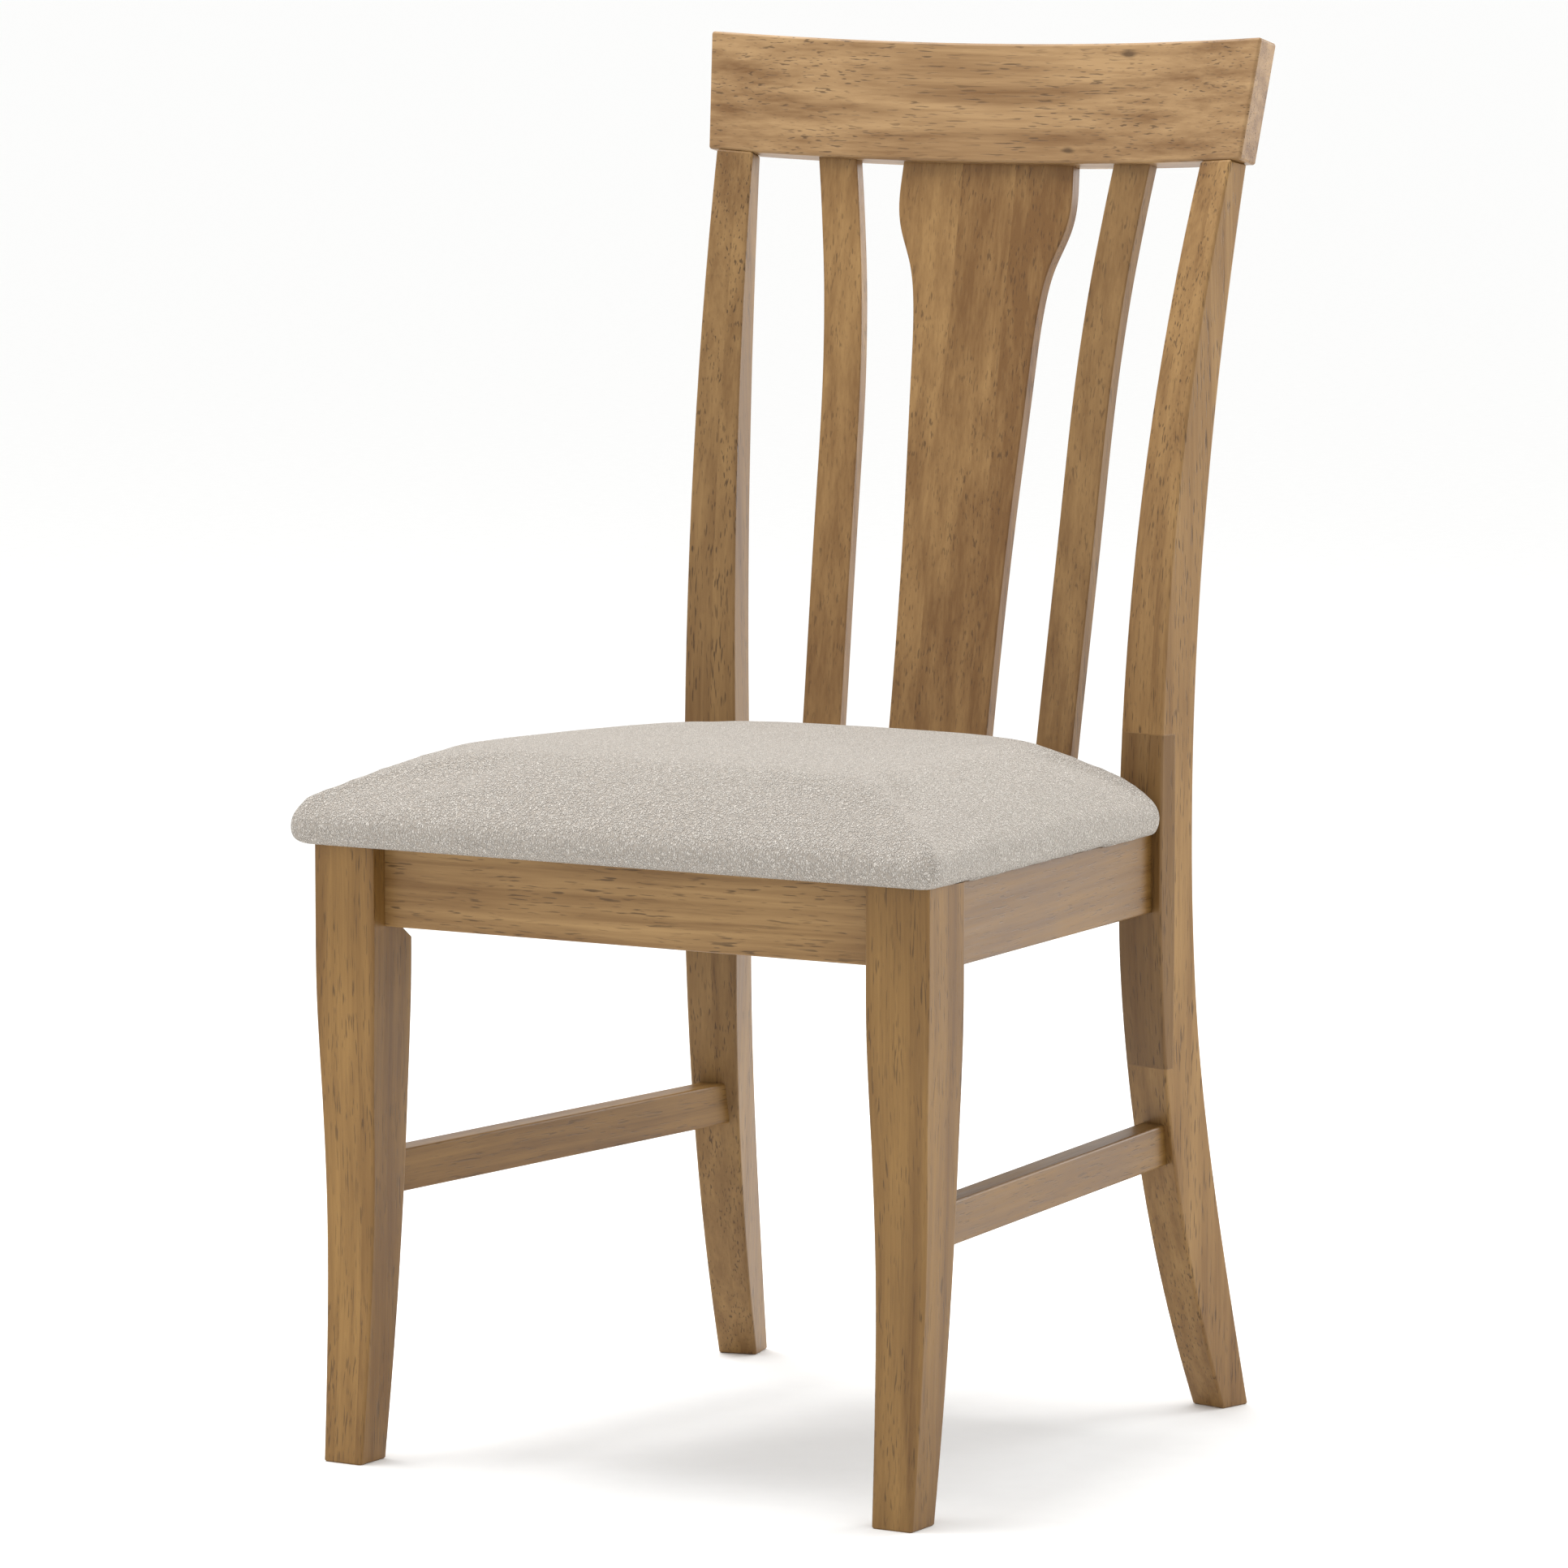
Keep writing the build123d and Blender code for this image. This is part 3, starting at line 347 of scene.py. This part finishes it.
PAD_FRONT_HALF = leg_high.x + 0.0165     # the widest line of the pad, at its front corners
PAD_FRONT_Y = -0.0190
PAD_REAR_HALF = 0.208
PAD_REAR_Y = 0.424                   # rear corners, in front of the posts
PAD_TONGUE_HALF = 0.1585             # the pad reaches between the posts
PAD_TONGUE_Y = 0.4405
PAD_SAG_END = 0.400
PAD_REAR_SINK = -0.0012              # the foam is pressed this far onto the rear rail


def round_outline(corners, count):
    """A closed outline with rounded corners, count points at even steps. corners are (x, y, radius)."""
    path = []
    n = len(corners)
    for i, (x, y, r) in enumerate(corners):
        here = Vector((x, y))
        before = (Vector(corners[i - 1][:2]) - here).normalized()
        after = (Vector(corners[(i + 1) % n][:2]) - here).normalized()
        half = before.angle(after) / 2
        run = r / math.tan(half)
        mid = here + (before + after).normalized() * (r / math.sin(half))
        start, end = here + before * run - mid, here + after * run - mid
        for k in range(9):
            path.append(mid + start.slerp(end, k / 8).normalized() * r)
    total = [0.0]
    for a, b in zip(path, path[1:] + path[:1]):
        total.append(total[-1] + (b - a).length)
    out, j = [], 0
    for k in range(count):
        s = total[-1] * k / count
        while total[j + 1] < s:
            j += 1
        a, b = path[j], path[(j + 1) % len(path)]
        out.append(a.lerp(b, (s - total[j]) / max(total[j + 1] - total[j], 1e-9)))
    return out


# Each corner's place, how much the pad's top falls there, and how far that reaches.
CORNER_FALLS = [(PAD_FRONT_HALF, PAD_FRONT_Y, 0.0040, 0.120), (PAD_REAR_HALF, PAD_REAR_Y, 0.0060, 0.120)]


def corner_fall(q):
    """How much lower the pad's top is near its front and rear corners."""
    fall = 0.0
    for x, y, depth, reach in CORNER_FALLS:
        near = max(0.0, 1 - (Vector((abs(q.x), q.y)) - Vector((x, y))).length / reach)
        fall += depth * near * near * (3 - 2 * near)
    return fall


PAD_SIDE_TOP = 0.041                 # where the pad's sides turn over into its top
PAD_CROWN = 0.027                    # how much higher the middle is
PAD_TOP_INSET = 0.010
PAD_FALL_START = 0.012               # the corners' fall begins at this height on the sides
PAD_FALL_SPAN = 0.029                # and is complete this much higher
OUTLINE_POINTS = 320
# (share of the way in from an edge, share of the crown's height)
CROWN_PROFILE = [(0.0, 0.0), (0.035, 0.26), (0.075, 0.48), (0.12, 0.63), (0.19, 0.76),
                 (0.30, 0.86), (0.45, 0.93), (0.65, 0.98), (1.0, 1.0)]


def crown_share(inward):
    """CROWN_PROFILE read at any place."""
    for (a, low), (b, high) in zip(CROWN_PROFILE, CROWN_PROFILE[1:]):
        if inward <= b:
            return low + (high - low) * (inward - a) / (b - a)
    return 1.0


def top_height(q):
    """Height of the pad's domed top, which falls away towards every edge and most at the corners."""
    back = (q.y - PAD_FRONT_Y) / (PAD_REAR_Y - PAD_FRONT_Y)
    half = PAD_FRONT_HALF + (PAD_REAR_HALF - PAD_FRONT_HALF) * back - PAD_TOP_INSET
    middle_y = (PAD_FRONT_Y + PAD_TONGUE_Y) / 2
    depth = (PAD_TONGUE_Y - PAD_FRONT_Y) / 2 - PAD_TOP_INSET
    across = crown_share(max(1 - abs(q.x) / half, 0.0))
    along = crown_share(max(1 - abs(q.y - middle_y) / depth, 0.0))
    return PAD_SIDE_TOP + PAD_CROWN * across * along - corner_fall(q)


def pad_start():
    """The pad before it swells: rings from the underside, round the side and up to the crown."""
    f, r, t = PAD_FRONT_HALF, PAD_REAR_HALF, PAD_TONGUE_HALF
    corners = [(-f, PAD_FRONT_Y, 0.011), (f, PAD_FRONT_Y, 0.011), (r, PAD_REAR_Y, 0.010),
               (t, PAD_TONGUE_Y, 0.006), (-t, PAD_TONGUE_Y, 0.006), (-r, PAD_REAR_Y, 0.010)]
    outline = round_outline(corners, OUTLINE_POINTS)
    middle = Vector((0, (PAD_FRONT_Y + PAD_TONGUE_Y) / 2))
    count = len(outline)
    normals = []
    for i in range(count):
        along = outline[(i + 1) % count] - outline[i - 1]
        normals.append(Vector((along.y, -along.x)).normalized())
    # (drawn in from the outline, height) round the side, then shares of the way to the middle.
    sides = [(0.017, 0.0), (0.011, -0.0016), (0.005, -0.0008), (0.0012, 0.0045), (0.0, 0.0120),
             (0.0013, 0.022), (0.0045, 0.032), (PAD_TOP_INSET, PAD_SIDE_TOP)]
    tops = [0.035, 0.075, 0.12, 0.19, 0.27, 0.36, 0.48, 0.62, 0.77, 0.92]
    verts, faces = [], []
    for back, h in sides:
        for p, n in zip(outline, normals):
            # The cloth hangs a little over the rails, except at the back, where the posts are.
            low = max(h, PAD_REAR_SINK) if p.y > PAD_SAG_END else h
            q = p - n * back
            fall = corner_fall(q) * max(h - PAD_FALL_START, 0.0) / PAD_FALL_SPAN
            verts.append(seat_point(q.x, q.y, low - fall))
    for share in tops:
        for p, n in zip(outline, normals):
            q = (p - n * sides[-1][0]).lerp(middle, share)
            verts.append(seat_point(q.x, q.y, top_height(q)))
    layers = len(sides) + len(tops)
    for k in range(layers - 1):
        for i in range(count):
            j = (i + 1) % count
            faces.append((k * count + i, k * count + j, (k + 1) * count + j, (k + 1) * count + i))
    faces.append(tuple(reversed(range(count))))
    faces.append(tuple(range((layers - 1) * count, layers * count)))
    mesh = bpy.data.meshes.new("seat_pad")
    mesh.from_pydata([tuple(v) for v in verts], [], faces)
    mesh.update()
    pad = bpy.data.objects.new("seat_pad", mesh)
    scene.collection.objects.link(pad)
    return pad


def apply_modifiers(piece):
    """Modifiers become part of the mesh."""
    graph = bpy.context.evaluated_depsgraph_get()
    baked = bpy.data.meshes.new_from_object(piece.evaluated_get(graph), depsgraph=graph)
    piece.modifiers.clear()
    piece.data = baked


def seat_height(co):
    """Height above the plane of the rails."""
    return (co.y - LEG_FRONT) * math.sin(SEAT_SLOPE) + (co.z - SEAT_Z) * math.cos(SEAT_SLOPE)


HELD_BELOW = 0.006                   # cloth lower than this is fixed to the board
SIM_FRAMES = 20


def swell(piece, cap, pressure):
    """Blows the pad up like stuffed cloth with its underside held. No point moves further than cap."""
    group = piece.vertex_groups.new(name="held")
    for v in piece.data.vertices:
        h = seat_height(v.co)
        if h < HELD_BELOW:
            group.add([v.index], 1.0, "REPLACE")
    rest = [v.co.copy() for v in piece.data.vertices]
    cloth = piece.modifiers.new("Cloth", "CLOTH")
    cloth.settings.vertex_group_mass = "held"
    cloth.settings.quality = 3
    cloth.settings.mass = 0.35
    cloth.settings.tension_stiffness = 18
    cloth.settings.compression_stiffness = 18
    cloth.settings.shear_stiffness = 8
    cloth.settings.bending_stiffness = 1.5
    cloth.settings.use_pressure = True
    cloth.settings.uniform_pressure_force = pressure
    cloth.settings.effector_weights.gravity = 0
    cloth.collision_settings.use_collision = False
    cloth.point_cache.frame_start, cloth.point_cache.frame_end = 1, SIM_FRAMES
    for step in range(1, SIM_FRAMES + 1):
        scene.frame_set(step)
    apply_modifiers(piece)
    scene.frame_set(1)
    for v, start in zip(piece.data.vertices, rest):
        move = v.co - start
        hold = min(max((seat_height(start) - 0.016) / 0.020, 0.0), 1.0)
        if move.length > cap:
            move *= cap / move.length
        v.co = start + move * hold


cushion = pad_start()
remesh = cushion.modifiers.new("Remesh", "REMESH")
remesh.mode = "VOXEL"
remesh.voxel_size = 0.006
apply_modifiers(cushion)
swell(cushion, 0.008, 4.0)
smooth = cushion.modifiers.new("Smooth", "SMOOTH")
smooth.factor, smooth.iterations = 0.5, 4
apply_modifiers(cushion)
subdivide = cushion.modifiers.new("Subdivision", "SUBSURF")
subdivide.levels = subdivide.render_levels = 1
apply_modifiers(cushion)
for face in cushion.data.polygons:
    face.use_smooth = True
cushion.name = "upholstered_seat"
cushion.data.materials.append(tweed())
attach(cushion, "root")
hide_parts("seat_cover", "seat_foam")

# ---- Studio -------------------------------------------------------------------------

floor_mesh = bpy.data.meshes.new("studio_floor")
FLOOR_REACH = 120.0
floor_corners = [(x * FLOOR_REACH, y * FLOOR_REACH, 0) for x, y in ((-1, -1), (1, -1), (1, 1), (-1, 1))]
floor_mesh.from_pydata(floor_corners, [], [(0, 1, 2, 3)])
floor = bpy.data.objects.new("studio_floor", floor_mesh)
scene.collection.objects.link(floor)
paper = Shader("studio_paper")
speck = paper.noise(paper.add("TexCoord").outputs["Object"], 40.0, 2.0)
paper_color = paper.blend(speck, srgb(246, 246, 245), srgb(250, 250, 249))
paper_bump = paper.add("Bump", {"Strength": 0.02, "Height": speck}).outputs[0]
floor_mesh.materials.append(paper.finish(paper_color, 0.9, paper_bump))

world = bpy.data.worlds.new("studio_world")
world.use_nodes = True
world.node_tree.nodes["Background"].inputs[0].default_value = (1.0, 1.0, 1.0, 1)
world.node_tree.nodes["Background"].inputs[1].default_value = 1.04
scene.world = world


def softbox(name, place, aim, size, power):
    """A rectangular lamp that points at aim."""
    data = bpy.data.lights.new(name, "AREA")
    data.shape = "RECTANGLE"
    data.size, data.size_y = size
    data.energy = power
    lamp = bpy.data.objects.new(name, data)
    scene.collection.objects.link(lamp)
    lamp.location = place
    lamp.rotation_euler = (Vector(aim) - Vector(place)).to_track_quat("-Z", "Y").to_euler()


softbox("light_above", (-0.8, -0.1, 3.2), (0, 0, 0.5), (2.0, 2.0), 92)
softbox("light_behind", (2.3, 4.2, 1.7), (0, 0, 0.6), (2.2, 2.2), 100)

# From the middle, ahead of the legs' front faces, and above the floor.
CAMERA_SIDE, CAMERA_AHEAD, CAMERA_HEIGHT = 2.91774, 4.64257, 1.13131
CAMERA_TURN, CAMERA_DOWN = 30.91, 6.53          # degrees

camera_data = bpy.data.cameras.new("camera")
camera = bpy.data.objects.new("camera", camera_data)
scene.collection.objects.link(camera)
camera_data.sensor_width = 36.0
camera_data.lens = 181.87
camera_data.clip_end = 300.0
camera.location = (CAMERA_SIDE, LEG_FRONT - CAMERA_AHEAD, CAMERA_HEIGHT)
camera.rotation_euler = Euler((math.radians(90 - CAMERA_DOWN), 0, math.radians(CAMERA_TURN)))
scene.camera = camera
scene.view_settings.view_transform = "Standard"
